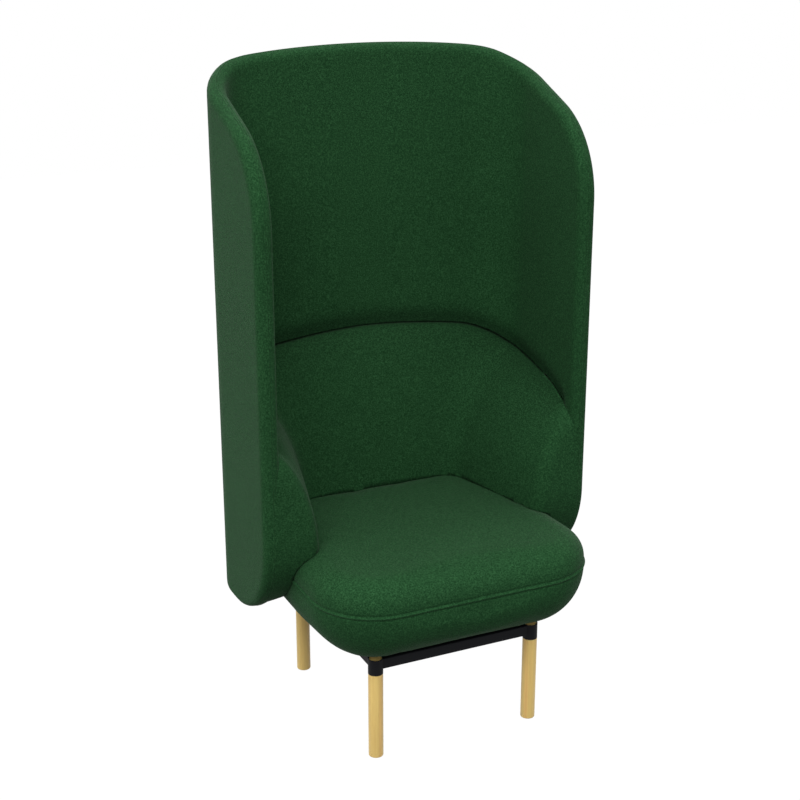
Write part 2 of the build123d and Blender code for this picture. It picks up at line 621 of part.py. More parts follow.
def save(name, pieces):
    """Write one node. A list of pieces becomes a group of separate solids."""
    shape = Compound(children=list(pieces)) if isinstance(pieces, list) else pieces
    export_step(shape, f"parts/{name}.step")


def build_frame():
    """Legs, glides, collars, rails and the plates that carry the seat."""
    for place in LEG_PLACES:
        save(f"leg_{place}", leg(place))
        save(f"glide_{place}", glide(place))
        save(f"collar_{place}", collar(place))
    save("rail_front", rail("front_left", "front_right"))
    save("rail_rear", rail("rear_left", "rear_right"))
    save("rail_left", rail("front_left", "rear_left"))
    save("rail_right", rail("front_right", "rear_right"))
    save("mounting_plates", mounting_plates())
    save("leg_grub_screws", [grub_screw(place) for place in LEG_PLACES])
    save("frame_bolts", frame_bolts())
    save("frame_washers", frame_washers())
    save("frame_tee_nuts", frame_tee_nuts())


def build_seat():
    """Wooden frame, foam and covers of the seat."""
    wood = {
        "seat_deck": seat_deck(),
        "seat_bearer_left": seat_bearer(-1),
        "seat_bearer_right": seat_bearer(1),
        "seat_board_left": side_board(-1),
        "seat_board_right": side_board(1),
        "seat_board_front": cross_board(-1),
        "seat_board_rear": cross_board(1),
    }
    for name, piece in wood.items():
        save(name, piece)
    save("deck_screws", deck_screws())
    full = seat_body(0)
    foam = seat_body(COVER)
    dust_area = below(SEAT_INNER_Z)
    skin = full - foam - dust_area
    save("seat_dust_cover", (full & dust_area) - seat_bolt_holes())
    save("seat_side_cover", (skin & below(SEAT_SEAM_Z)) - spacer_paths())
    save("seat_top_cover", skin - below(SEAT_SEAM_Z))
    inserts = list(wood.values()) + seat_bolt_holes() + frame_bolts() + frame_tee_nuts()
    inserts += shell_bolts() + shell_bolt_heads() + shell_washers() + shell_bolt_holes() + spacer_paths()
    inserts += deck_screws()
    for insert in inserts:
        foam -= insert
    save("seat_foam", foam)


def build_shell():
    """Core, foam and covers of the shell, and what ties it to the seat."""
    outside = shell_wall(0)
    foam = shell_wall(COVER)
    core = shell_wall((SHELL_WALL - CORE_THICKNESS) / 2, rounded=False)
    middle = inside_of_wall(SHELL_WALL / 2)
    skin = outside - foam
    save("shell_core", core - shell_bolt_holes() - shell_tee_nuts())
    save("shell_foam", foam - core - shell_tee_nuts() - shell_bolts() - spacer_paths())
    save("shell_outer_cover", skin - middle)
    save("shell_inner_cover", (skin & middle) - spacer_paths())
    save("shell_spacers", shell_spacers())
    save("shell_bolts", shell_bolts())
    save("shell_washers", shell_washers())
    save("shell_tee_nuts", shell_tee_nuts())


def build_pad():
    """Foam and cover of the inner pad."""
    full = pad_body(0)
    foam = pad_body(COVER)
    save("pad_foam", foam - spacer_paths())
    save("pad_cover", full - foam - spacer_paths())


os.makedirs("parts", exist_ok=True)
build_frame()
build_seat()
build_shell()
build_pad()
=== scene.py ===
import bpy
import bmesh
import math
from mathutils import Matrix, Vector


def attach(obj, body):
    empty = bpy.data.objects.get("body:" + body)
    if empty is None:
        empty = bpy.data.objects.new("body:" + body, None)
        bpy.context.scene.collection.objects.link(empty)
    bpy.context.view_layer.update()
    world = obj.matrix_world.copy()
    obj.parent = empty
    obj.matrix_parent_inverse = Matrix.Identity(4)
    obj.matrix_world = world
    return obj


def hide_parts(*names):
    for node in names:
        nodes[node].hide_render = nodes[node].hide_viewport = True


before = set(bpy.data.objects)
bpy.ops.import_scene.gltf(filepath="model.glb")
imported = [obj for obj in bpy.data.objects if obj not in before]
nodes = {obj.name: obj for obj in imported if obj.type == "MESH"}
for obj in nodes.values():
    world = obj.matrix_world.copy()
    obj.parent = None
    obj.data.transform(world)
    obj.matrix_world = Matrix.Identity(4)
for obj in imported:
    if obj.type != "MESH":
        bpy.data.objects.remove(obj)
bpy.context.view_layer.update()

# ---- Camera ----
# The photograph was taken from the chair's front left, a little above its top edge, with a plain
# 30 degree lens. The place was solved from the legs, the steel frame and the wings.
field_of_view = math.radians(30.0)


def new_object(name, data):
    made = bpy.data.objects.new(name, data)
    bpy.context.scene.collection.objects.link(made)
    return made


camera_data = bpy.data.cameras.new("camera")
camera_data.sensor_width = 36.0
camera_data.lens = camera_data.sensor_width / 2 / math.tan(field_of_view / 2)
camera = new_object("camera", camera_data)
camera.location = (-1.35566, -2.79762, 1.80142)
camera.rotation_euler = (math.radians(70.9991), 0.0, math.radians(-25.2526))
bpy.context.scene.camera = camera
bpy.context.scene.view_settings.view_transform = "Standard"

# ---- Legs ----
# Four round legs, turned from ash, with clear satin lacquer and their sawn ends left open to view.
# Each is as thick as its collar below it, and a thinner tenon goes up through the collar.
leg_radius, tenon_radius = 0.0163, 0.0149
leg_foot, leg_shoulder, leg_top = 0.0010, 0.2028, 0.2385
leg_half = (leg_shoulder - leg_foot) / 2
leg_edge_round = 0.0022
leg_places = {"front_left": (-0.1905, -0.2045), "front_right": (0.1905, -0.2045),
              "rear_left": (-0.1905, 0.2215), "rear_right": (0.1905, 0.2215)}
corners = tuple(leg_places)


def new_material(name):
    material = bpy.data.materials.new(name)
    material.use_nodes = True
    tree = material.node_tree
    return material, tree, tree.nodes["Principled BSDF"]


def node(tree, kind, **settings):
    made = tree.nodes.new(kind)
    for key, value in settings.items():
        setattr(made, key, value)
    return made


def noise(tree, vector, scale, detail=2.0):
    made = node(tree, "ShaderNodeTexNoise")
    made.inputs["Scale"].default_value = scale
    made.inputs["Detail"].default_value = detail
    tree.links.new(vector, made.inputs["Vector"])
    return made


def spread(tree, value, low, high, to_low=0.0, to_high=1.0):
    """Stretches what lies between low and high over a new range."""
    made = node(tree, "ShaderNodeMapRange")
    for socket, number in (("From Min", low), ("From Max", high), ("To Min", to_low), ("To Max", to_high)):
        made.inputs[socket].default_value = number
    tree.links.new(value, made.inputs["Value"])
    return made.outputs["Result"]


def mix_colors(tree, amount, first, second, blend_type="MIX"):
    """Mixes two colours, each given as three numbers or as a socket."""
    made = node(tree, "ShaderNodeMix", data_type="RGBA", blend_type=blend_type)
    tree.links.new(amount, made.inputs["Factor"])
    for number, color in ((6, first), (7, second)):
        if isinstance(color, tuple):
            made.inputs[number].default_value = (*color, 1.0)
        else:
            tree.links.new(color, made.inputs[number])
    return made.outputs[2]


def bump(tree, height, strength, distance):
    made = node(tree, "ShaderNodeBump")
    made.inputs["Strength"].default_value = strength
    made.inputs["Distance"].default_value = distance
    tree.links.new(height, made.inputs["Height"])
    return made.outputs["Normal"]


def wood(name, pale, deep, pore_strength, roughness):
    """Rings and pores drawn out along the height, with a few pinkish streaks."""
    material, tree, shader = new_material(name)
    place = node(tree, "ShaderNodeTexCoord")
    stretch = node(tree, "ShaderNodeMapping")
    stretch.inputs["Scale"].default_value = (1.0, 1.0, 0.035)
    tree.links.new(place.outputs["Object"], stretch.inputs["Vector"])
    grain = stretch.outputs["Vector"]
    rings = noise(tree, grain, 150.0, detail=4.0)
    rings.inputs["Distortion"].default_value = 0.4
    pores = noise(tree, grain, 900.0).outputs["Fac"]
    streaks = noise(tree, grain, 45.0).outputs["Fac"]
    tone = node(tree, "ShaderNodeValToRGB")
    for stop, position, color in zip(tone.color_ramp.elements, (0.34, 0.64), (deep, pale)):
        stop.position = position
        stop.color = (*color, 1.0)
    tree.links.new(rings.outputs["Fac"], tone.inputs["Fac"])
    streak_mask = spread(tree, streaks, 0.52, 0.70)
    streaked = mix_colors(tree, streak_mask, tone.outputs["Color"], (1.0, 0.86, 0.88), "MULTIPLY")
    pore_mask = spread(tree, pores, 0.62, 0.75, to_high=pore_strength)
    pored = mix_colors(tree, pore_mask, streaked, (0.62, 0.48, 0.32), "MULTIPLY")
    tree.links.new(pored, shader.inputs["Base Color"])
    tree.links.new(bump(tree, pores, 0.12, 0.0004), shader.inputs["Normal"])
    shader.inputs["Roughness"].default_value = roughness
    return material


def dress(name, material):
    """Gives a CAD node its material."""
    mesh = nodes[name].data
    mesh.materials.clear()
    mesh.materials.append(material)


def deselect_all():
    bpy.ops.object.select_all(action="DESELECT")


leg_wood = wood("ash_satin", pale=(0.83, 0.595, 0.195), deep=(0.73, 0.505, 0.160), pore_strength=0.4,
                roughness=0.42)
deselect_all()
bpy.ops.mesh.primitive_cylinder_add(vertices=64, radius=leg_radius, depth=2 * leg_half,
                                    location=(0.0, 0.0, 0.0))
first_leg = bpy.context.object
bpy.ops.object.mode_set(mode="EDIT")
form = bmesh.from_edit_mesh(first_leg.data)
for face in form.faces:
    face.select_set(face.normal.z > 0.9)
bmesh.update_edit_mesh(first_leg.data)
bpy.ops.mesh.inset(thickness=leg_radius - tenon_radius, depth=0.0)
bpy.ops.mesh.extrude_region_move(TRANSFORM_OT_translate={"value": (0.0, 0.0, leg_top - leg_shoulder)})
# the edges of the foot and of the tenon's sawn end are eased, and the shoulder stays crisp
form = bmesh.from_edit_mesh(first_leg.data)
for edge in form.edges:
    low = all(abs(v.co.z + leg_half) < 0.0001 for v in edge.verts)
    high = all(v.co.z > leg_half + 0.001 for v in edge.verts)
    edge.select_set(low or high)
bmesh.update_edit_mesh(first_leg.data)
bpy.ops.mesh.bevel(offset=leg_edge_round, segments=4)
bpy.ops.object.mode_set(mode="OBJECT")
bpy.ops.object.shade_smooth_by_angle(angle=math.radians(35))
first_leg.data.materials.append(leg_wood)
for corner, (x, y) in leg_places.items():
    leg = new_object("leg_%s_turned" % corner, first_leg.data.copy())
    leg.data.transform(Matrix.Translation((x, y, leg_foot + leg_half)))
    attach(leg, "root")
    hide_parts("leg_" + corner)
bpy.data.objects.remove(first_leg)

# ---- Glides ----
# Hard black plastic discs, pressed into the leg ends. They only show from below.
def plain(name, color, roughness, metallic=0.0, grain=900.0, depth=0.15, specular=0.5):
    """An even finish with a fine grain in its colour, gloss and surface."""
    material, tree, shader = new_material(name)
    shader.inputs["Metallic"].default_value = metallic
    shader.inputs["Specular IOR Level"].default_value = specular
    place = node(tree, "ShaderNodeTexCoord")
    speckle = noise(tree, place.outputs["Object"], grain, detail=3.0).outputs["Fac"]
    darker, lighter = (tuple(c * level for c in color) for level in (0.85, 1.15))
    gloss = spread(tree, speckle, 0.0, 1.0, roughness - 0.06, roughness + 0.06)
    tree.links.new(mix_colors(tree, speckle, darker, lighter), shader.inputs["Base Color"])
    tree.links.new(gloss, shader.inputs["Roughness"])
    tree.links.new(bump(tree, speckle, depth, 0.0003), shader.inputs["Normal"])
    return material


glide_plastic = plain("glide_plastic", (0.02, 0.02, 0.02), roughness=0.6)
for corner in corners:
    dress("glide_" + corner, glide_plastic)

# ---- Steel frame ----
# Collars, rails and seat plates are welded steel with a fine matt black powder coat.
# The CAD shapes are right, so they keep them and get the coat's faint orange peel.
powder_coat = plain("powder_coat_black", (0.0040, 0.0046, 0.0062), roughness=0.62, grain=1400.0,
                    depth=0.25, specular=0.12)
for corner in corners:
    dress("collar_" + corner, powder_coat)
for name in ("rail_front", "rail_rear", "rail_left", "rail_right", "mounting_plates"):
    dress(name, powder_coat)

# ---- Fasteners ----
# Zinc plated screws, bolts, washers, tee nuts and spacer tubes. Only the bolts under the plates show.
zinc = plain("zinc_plate", (0.52, 0.53, 0.55), roughness=0.38, metallic=1.0, grain=2500.0, depth=0.1)
for name in ("leg_grub_screws", "frame_bolts", "frame_washers", "frame_tee_nuts", "deck_screws",
             "shell_bolts", "shell_washers", "shell_tee_nuts", "shell_spacers"):
    dress(name, zinc)

# ---- Wooden seat frame and shell core ----
# Birch plywood deck, boards and bent core, with beech bearers. All of it is inside the upholstery.
plywood = wood("birch_plywood", pale=(0.62, 0.47, 0.29), deep=(0.55, 0.40, 0.23), pore_strength=0.3,
               roughness=0.7)
beech = wood("beech", pale=(0.52, 0.33, 0.19), deep=(0.45, 0.27, 0.15), pore_strength=0.5, roughness=0.65)
for name in ("seat_deck", "seat_board_left", "seat_board_right", "seat_board_front", "seat_board_rear",
             "shell_core"):
    dress(name, plywood)
for name in ("seat_bearer_left", "seat_bearer_right"):
    dress(name, beech)

# ---- Seat cushion ----
# Moulded foam in milled wool felt: a crowned top panel and a deep side panel that rolls under the
# seat, sewn together at one thin raised seam all round. It starts as a block that is rounded, is
# puffed up as cloth, and is parted along the seam.
seat_low, seat_high = Vector((-0.326, -0.3165, 0.241)), Vector((0.326, 0.2645, 0.449))
seat_middle = (seat_low + seat_high) / 2
swelling_room = Vector((0.0, 0.0, 0.004))
bottom_z = seat_low.z + 0.001
front_round, rear_round, low_round, top_round = 0.148, 0.098, 0.136, 0.052
seat_swelling = 0.005


def make_active(thing):
    deselect_all()
    thing.select_set(True)
    bpy.context.view_layer.objects.active = thing


def apply_modifiers(thing):
    make_active(thing)
    for modifier in list(thing.modifiers):
        bpy.ops.object.modifier_apply(modifier=modifier.name)


def round_edges(thing, wanted, width, segments):
    """Rounds the edges whose two ends pass a test of their place."""
    make_active(thing)
    bpy.ops.object.mode_set(mode="EDIT")
    bpy.ops.mesh.select_mode(type="EDGE")
    bpy.ops.mesh.select_all(action="DESELECT")
    mesh = bmesh.from_edit_mesh(thing.data)
    for edge in mesh.edges:
        if wanted(edge.verts[0].co, edge.verts[1].co):
            edge.select = True
    bmesh.update_edit_mesh(thing.data)
    bpy.ops.mesh.bevel(offset=width, segments=segments, profile=0.5, affect="EDGES", clamp_overlap=False)
    bpy.ops.mesh.remove_doubles(threshold=0.0001)
    bpy.ops.object.mode_set(mode="OBJECT")


def smooth(thing, passes):
    made = thing.modifiers.new("smooth", "SMOOTH")
    made.factor = 0.5
    made.iterations = passes
    apply_modifiers(thing)


def puff(thing, pressure, most, held, frames=20):
    """Inflates a closed form as cloth. Vertices that pass held stay, the others move at most so far."""
    before = [v.co.copy() for v in thing.data.vertices]
    group = thing.vertex_groups.new(name="held")
    group.add([i for i, place in enumerate(before) if held(place)], 1.0, "REPLACE")
    make_active(thing)
    cloth = thing.modifiers.new("cloth", "CLOTH")
    cloth.settings.use_pressure = True
    cloth.settings.uniform_pressure_force = pressure
    cloth.settings.effector_weights.gravity = 0.0
    cloth.settings.quality = 5
    cloth.settings.tension_stiffness = 40.0
    cloth.settings.bending_stiffness = 20.0
    cloth.settings.vertex_group_mass = "held"
    cloth.point_cache.frame_start = 1
    cloth.point_cache.frame_end = frames
    scene = bpy.context.scene
    for number in range(1, frames + 1):
        scene.frame_set(number)
    shaped = thing.evaluated_get(bpy.context.evaluated_depsgraph_get())
    after = [v.co.copy() for v in shaped.data.vertices]
    thing.modifiers.remove(cloth)
    scene.frame_set(1)
    for vertex, start, end in zip(thing.data.vertices, before, after):
        move = end - start
        if move.length > most:
            move = move.normalized() * most
        vertex.co = start + move
    thing.vertex_groups.remove(thing.vertex_groups["held"])
    smooth(thing, 12)


deselect_all()
bpy.ops.mesh.primitive_cube_add(size=1.0, location=seat_middle)
seat = bpy.context.object
seat.name = "seat_block"
seat.scale = seat_high - seat_low - swelling_room
bpy.ops.object.transform_apply(location=True, rotation=True, scale=True)
for vertex in seat.data.vertices:
    if vertex.co.z < seat_middle.z:
        vertex.co.z = bottom_z
round_edges(seat, lambda a, b: abs(a.z - b.z) > 0.1 and a.y < 0, front_round, 20)
round_edges(seat, lambda a, b: abs(a.z - b.z) > 0.1 and a.y > 0.2, rear_round, 14)
round_edges(seat, lambda a, b: max(a.z, b.z) < bottom_z + 0.001, low_round, 16)
round_edges(seat, lambda a, b: min(a.z, b.z) > 0.43, top_round, 10)
voxels = seat.modifiers.new("voxels", "REMESH")
voxels.mode = "VOXEL"
voxels.voxel_size = 0.007
smooth(seat, 4)
puff(seat, pressure=4.0, most=seat_swelling, held=lambda place: place.z < bottom_z + 0.003)


def calculate(tree, operation, first, second):
    """One step of arithmetic on two values, each given as a number or as a socket."""
    made = node(tree, "ShaderNodeMath", operation=operation)
    for socket, value in zip(made.inputs, (first, second)):
        if isinstance(value, float):
            socket.default_value = value
        else:
            tree.links.new(value, socket)
    return made.outputs["Value"]


# The felt is a melange of dark and light green fibres: flecks, thinner in some clumps than in
# others, under a broad faint cloudiness, with single fibres standing up.
melange = bpy.data.node_groups.new("melange_felt", "ShaderNodeTree")
felt_sockets = {"INPUT": {"Dark": "Color", "Light": "Color", "Fleck Scale": "Float"},
                "OUTPUT": {"Color": "Color", "Height": "Float", "Roughness": "Float"}}
for in_out, sockets in felt_sockets.items():
    for name, kind in sockets.items():
        melange.interface.new_socket(name=name, in_out=in_out, socket_type="NodeSocket" + kind)
felt_in = node(melange, "NodeGroupInput")
felt_out = node(melange, "NodeGroupOutput")
felt_place = node(melange, "ShaderNodeTexCoord").outputs["Object"]
flecks = noise(melange, felt_place, 350.0, detail=3.0)
flecks.inputs["Roughness"].default_value = 0.65
melange.links.new(felt_in.outputs["Fleck Scale"], flecks.inputs["Scale"])
clumps = noise(melange, felt_place, 185.0).outputs["Fac"]
broad = noise(melange, felt_place, 7.0).outputs["Fac"]
fibres = noise(melange, felt_place, 1500.0).outputs["Fac"]
fleck_mask = spread(melange, flecks.outputs["Fac"], 0.40, 0.60)
clump_mask = spread(melange, clumps, 0.35, 0.65, to_low=0.50)
light_part = calculate(melange, "MULTIPLY", fleck_mask, clump_mask)
threads = mix_colors(melange, light_part, felt_in.outputs["Dark"], felt_in.outputs["Light"])
clouded = node(melange, "ShaderNodeVectorMath", operation="SCALE")
melange.links.new(threads, clouded.inputs[0])
melange.links.new(spread(melange, broad, 0.0, 1.0, 0.92, 1.08), clouded.inputs["Scale"])
melange.links.new(clouded.outputs["Vector"], felt_out.inputs["Color"])
melange.links.new(calculate(melange, "ADD", fleck_mask, fibres), felt_out.inputs["Height"])
melange.links.new(spread(melange, clumps, 0.0, 1.0, to_low=0.86), felt_out.inputs["Roughness"])


def felt(name, dark, light):
    material, tree, shader = new_material(name)
    cloth = node(tree, "ShaderNodeGroup", node_tree=melange)
    cloth.inputs["Dark"].default_value = (*dark, 1.0)
    cloth.inputs["Light"].default_value = (*light, 1.0)
    cloth.inputs["Fleck Scale"].default_value = 350.0
    tree.links.new(cloth.outputs["Roughness"], shader.inputs["Roughness"])
    shader.inputs["Specular IOR Level"].default_value = 0.1
    normal = bump(tree, cloth.outputs["Height"], 0.45, 0.0006)
    tree.links.new(normal, shader.inputs["Normal"])
    # painted sheen: the colour turns paler where the cloth is seen at a flat angle, in place of the nap's
    # sheen
    angle = node(tree, "ShaderNodeLayerWeight")
    tree.links.new(normal, angle.inputs["Normal"])
    painted_sheen = calculate(tree, "MULTIPLY", calculate(tree, "POWER", angle.outputs["Facing"], 6.5), 0.28)
    # painted shade: where the cloth is pulled into a crease its colour is darkened and the painted sheen is
    # taken away
    painted_crease_shade = node(tree, "ShaderNodeAttribute", attribute_name="crease").outputs["Fac"]
    painted_sheen_left = calculate(tree, "MULTIPLY", painted_sheen, calculate(tree, "SUBTRACT", 1.0, painted_crease_shade))
    crease_shaded_color = mix_colors(tree, painted_crease_shade, cloth.outputs["Color"], (0.62, 0.62, 0.62), "MULTIPLY")
    # the painted sheen, a pale grey-green, is mixed into the felt's colour here
    felt_with_painted_light = mix_colors(tree, painted_sheen_left, crease_shaded_color, (0.25, 0.33, 0.26))
    tree.links.new(felt_with_painted_light, shader.inputs["Base Color"])
    return material


green_felt = felt("green_felt", dark=(0.0058, 0.0340, 0.0100), light=(0.0225, 0.0850, 0.0295))

# The seam parts the felt into two panels. Their edges stand up a little, with a faint dip beside.
seat_seam_z = 0.3845
seam_rows = (0.0011, 0.0022, 0.0036, 0.0052, 0.0070, 0.0095)
seam_reach = 0.012
ridge_height, ridge_width = 0.0024, 0.0018
dip_depth, dip_at, dip_width = 0.0016, 0.0052, 0.0022
felt_thickness = 0.0015


def seam_ridge(distance):
    dip = dip_depth * math.exp(-((distance - dip_at) / dip_width) ** 2)
    return ridge_height * math.exp(-(distance / ridge_width) ** 2) - dip


def cut_level(thing, height, **cleared):
    make_active(thing)
    bpy.ops.object.mode_set(mode="EDIT")
    bpy.ops.mesh.select_all(action="SELECT")
    bpy.ops.mesh.bisect(plane_co=(0, 0, height), plane_no=(0, 0, 1), **cleared)
    bpy.ops.object.mode_set(mode="OBJECT")


def half_of(thing, name, keep_above, height):
    """A copy of the part above or below a level, as a separate panel."""
    panel = new_object(name, thing.data.copy())
    cut_level(panel, height, clear_inner=keep_above, clear_outer=not keep_above)
    return panel


def thicken(sheet):
    """Gives a sheet of felt its thickness, on its inner side."""
    thick = sheet.modifiers.new("felt_thickness", "SOLIDIFY")
    thick.thickness = felt_thickness
    thick.offset = -1.0
    apply_modifiers(sheet)


def finish_felt(piece):
    piece.data.materials.clear()
    piece.data.materials.append(green_felt)
    make_active(piece)
    bpy.ops.object.shade_smooth()
    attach(piece, "root")


for offset in [-row for row in reversed(seam_rows)] + [0.0] + list(seam_rows):
    cut_level(seat, seat_seam_z + offset)
normals = [v.normal.copy() for v in seat.data.vertices]
for vertex, normal in zip(seat.data.vertices, normals):
    distance = abs(vertex.co.z - seat_seam_z)
    if distance < seam_reach:
        vertex.co += Vector((normal.x, normal.y, 0.0)).normalized() * seam_ridge(distance)
seat_top = half_of(seat, "seat_top_panel", True, seat_seam_z)
seat_side = half_of(seat, "seat_side_panel", False, seat_seam_z)
for panel in (seat_top, seat_side):
    thicken(panel)
    finish_felt(panel)
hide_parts("seat_top_cover", "seat_foam")
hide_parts("seat_side_cover")
dress("seat_dust_cover", plain("black_lining", (0.012, 0.012, 0.012), roughness=0.9, grain=1800.0, depth=0.3))

# ---- Shell ----
# A bent plywood wall with moulded foam on both sides, 40 mm thick, wrapped round the sitter. An
# outer and an inner felt cover meet in a flat seam along the middle of the rim.
wall = 0.040
half_wall = wall / 2
half_width, nose_y, back_y = 0.388, -0.0940, 0.3165
bow_outside, bow_inside = 1.900, 1.864
corner_outside, corner_inside = 0.150, 0.114
bow_radius, corner_radius = bow_inside + half_wall, corner_inside + half_wall
corner_x = half_width - corner_outside
bow_y = back_y - bow_outside
corner_y = bow_y + math.sqrt((bow_outside - corner_outside) ** 2 - corner_x ** 2)
turn = math.atan2(corner_y - bow_y, corner_x)
bow_run = bow_radius * (math.pi / 2 - turn)
corner_run = corner_radius * turn
wing_start = bow_run + corner_run
wing_run = corner_y - nose_y
shell_top, shell_bottom = 1.473, 0.274
rim_slope = math.radians(22.4)
rear_blend, front_corner, low_corner = 0.120, 0.215, 0.218
level_y = back_y - 0.021
crown_drop = 0.0245
crown_radius = half_width ** 2 / (2 * crown_drop)
rim_power, low_rim_power = 2.15, 1.45
back_points, wing_points, round_points, nose_points, bottom_points = 160, 40, 60, 80, 120
top_steps, nose_steps = 78, 112


def wall_place(run, offset):
    """Point beside the wall's middle surface at a distance along its plan from the back's middle."""
    side = 1.0 if run >= 0 else -1.0
    run = abs(run)
    if run < bow_run:
        angle = math.pi / 2 - run / bow_radius
        reach = bow_radius + offset
        return side * reach * math.cos(angle), bow_y + reach * math.sin(angle)
    if run < wing_start:
        angle = turn - (run - bow_run) / corner_radius
        reach = corner_radius + offset
        return side * (corner_x + reach * math.cos(angle)), corner_y + reach * math.sin(angle)
    return side * (corner_x + corner_radius + offset), corner_y - (run - wing_start)


def rim_outline():
    """Right half of the wall's outline, as (distance along the plan, height) from top to bottom."""
    blend_z = shell_top - rear_blend
    start_y = level_y - rear_blend * math.sin(rim_slope)
    start_z = blend_z + rear_blend * math.cos(rim_slope)
    centre_y = nose_y + front_corner
    centre_z = start_z - (start_y - centre_y) * math.tan(rim_slope) - front_corner / math.cos(rim_slope)
    end_y = centre_y - front_corner * math.sin(rim_slope)

    def top_at(y):
        if y >= level_y:
            return shell_top
        if y >= start_y:
            return blend_z + math.sqrt(rear_blend ** 2 - (level_y - y) ** 2)
        return start_z - (start_y - y) * math.tan(rim_slope)

    points = []
    for number in range(back_points + 1):
        run = wing_start * number / back_points
        x, y = wall_place(run, 0.0)
        points.append((run, top_at(y) - x ** 2 / (2 * crown_radius)))
    side_drop = (corner_x + corner_radius) ** 2 / (2 * crown_radius)
    for number in range(1, wing_points + 1):
        y = corner_y + (end_y - corner_y) * number / wing_points
        points.append((wing_start + corner_y - y, top_at(y) - side_drop))
    for number in range(1, round_points + 1):
        angle = math.pi / 2 + rim_slope + (math.pi / 2 - rim_slope) * number / round_points
        y = centre_y + front_corner * math.cos(angle)
        points.append((wing_start + corner_y - y, centre_z + front_corner * math.sin(angle) - side_drop))
    nose_top = points[-1][1]
    nose_low = shell_bottom + low_corner
    for number in range(1, nose_points + 1):
        points.append((wing_start + wing_run, nose_top + (nose_low - nose_top) * number / nose_points))
    for number in range(1, round_points + 1):
        angle = math.pi + math.pi / 2 * number / round_points
        y = nose_y + low_corner + low_corner * math.cos(angle)
        points.append((wing_start + corner_y - y, nose_low + low_corner * math.sin(angle)))
    last = points[-1][0]
    for number in range(1, bottom_points + 1):
        points.append((last * (1 - number / bottom_points), shell_bottom))
    return points


def evenly(points, count):
    """The same line with count equal steps."""
    lengths = [0.0]
    for a, b in zip(points, points[1:]):
        lengths.append(lengths[-1] + math.dist(a, b))
    made, place = [], 0
    for number in range(count + 1):
        wanted = lengths[-1] * number / count
        while place < len(points) - 2 and lengths[place + 1] < wanted:
            place += 1
        span = lengths[place + 1] - lengths[place]
        part = (wanted - lengths[place]) / span if span > 0 else 0.0
        a, b = points[place], points[place + 1]
        made.append(tuple(p + (q - p) * part for p, q in zip(a, b)))
    return made


half_outline = rim_outline()
top_corner_at = back_points + 1 + wing_points + round_points // 2
low_corner_at = back_points + 1 + wing_points + round_points + nose_points + round_points // 2
top_half = evenly(half_outline[:top_corner_at], top_steps)
nose_line = evenly(half_outline[top_corner_at - 1:low_corner_at], nose_steps)
low_half = evenly(half_outline[low_corner_at - 1:], top_steps)
right_side = top_half[:-1] + nose_line[:-1] + low_half
left_side = [(-run, z) for run, z in reversed(right_side[1:-1])]
ring_line = right_side + left_side
ring_count = len(ring_line)


def inward(number):
    """Direction from the outline into the wall's face."""
    (r0, z0), (r1, z1) = ring_line[number - 1], ring_line[(number + 1) % ring_count]
    along = Vector((r1 - r0, z1 - z0)).normalized()
    return Vector((along.y, -along.x))


inward_lines = [inward(number) for number in range(ring_count)]

# The crease is where the inner pad's upper edge runs into the inner cover. Its columns are those of
# the pad's mesh: the wing's front face, the round onto the arm, the arm, the rear bend and the back.
face_steps, round_steps, arm_steps, bend_steps, rear_steps = 10, 8, 24, 16, 26
arm_at = face_steps + round_steps
bend_at = arm_at + arm_steps
rear_at = bend_at + bend_steps
pad_columns = rear_at + rear_steps
arm_front_y = nose_y + half_wall
crease_depth, crease_width, crease_dip = 0.0080, 0.024, 0.004
shade_width = 0.032
crease_start, crease_onset = 0.031, 0.030


def smooth_line(points, x):
    """Height at x of a smooth line through points that never overshoots them."""
    if x <= points[0][0]:
        return points[0][1]
    if x >= points[-1][0]:
        return points[-1][1]
    slopes = [(b[1] - a[1]) / (b[0] - a[0]) for a, b in zip(points, points[1:])]
    tangents = [slopes[0]]
    for a, b in zip(slopes, slopes[1:]):
        tangents.append(0.0 if a * b <= 0 else 2 * a * b / (a + b))
    tangents.append(slopes[-1])
    place = max(i for i in range(len(points) - 1) if points[i][0] <= x)
    (x0, y0), (x1, y1) = points[place], points[place + 1]
    h = x1 - x0
    t = (x - x0) / h
    return ((2 * t ** 3 - 3 * t ** 2 + 1) * y0 + (t ** 3 - 2 * t ** 2 + t) * h * tangents[place]
            + (-2 * t ** 3 + 3 * t ** 2) * y1 + (t ** 3 - t ** 2) * h * tangents[place + 1])


def arm_column(y):
    return arm_at + arm_steps * (y - arm_front_y) / (corner_y - arm_front_y)


crease_rise = [(0, 0.600), (5, 0.628), (face_steps, 0.652), (arm_at, 0.676),
               (arm_column(0.0145), 0.722), (arm_column(0.1), 0.746),
               (bend_at, 0.757), (bend_at + 5, 0.772), (bend_at + 10, 0.793), (rear_at, 0.812),
               (rear_at + 8, 0.822), (pad_columns - 6, 0.831), (pad_columns, 0.833)]
crease_line = [smooth_line(crease_rise, column) for column in range(pad_columns + 1)]


def crease_run(column):
    """Distance along the wall's plan, from the back's middle, at a column of the crease line."""
    if column <= bend_at:
        return wing_start + (wing_run - half_wall) * min(1.0, (bend_at - column) / arm_steps)
    if column <= rear_at:
        return bow_run + corner_run * (rear_at - column) / bend_steps
    return bow_run * (pad_columns - column) / rear_steps


crease_runs = [crease_run(column) for column in range(pad_columns + 1)]


def pull_at(run):
    """How far the felt is pulled in at the crease, from 0 at the wing's front to 1."""
    t = (wing_start + wing_run - abs(run) - crease_start) / crease_onset
    t = min(1.0, max(0.0, t))
    return t * t * (3 - 2 * t)


def valley(run, z, width):
    """How near a point of the wall lies to the crease line, 1 on the line itself."""
    run = abs(run)
    place = arm_at
    while place < pad_columns - 1 and crease_runs[place + 1] > run:
        place += 1
    a, b = crease_runs[place], crease_runs[place + 1]
    part = min(1.0, max(0.0, (a - run) / (a - b)))
    height = crease_line[place] + (crease_line[place + 1] - crease_line[place]) * part
    return math.exp(-((z - height + crease_dip) / width) ** 2)


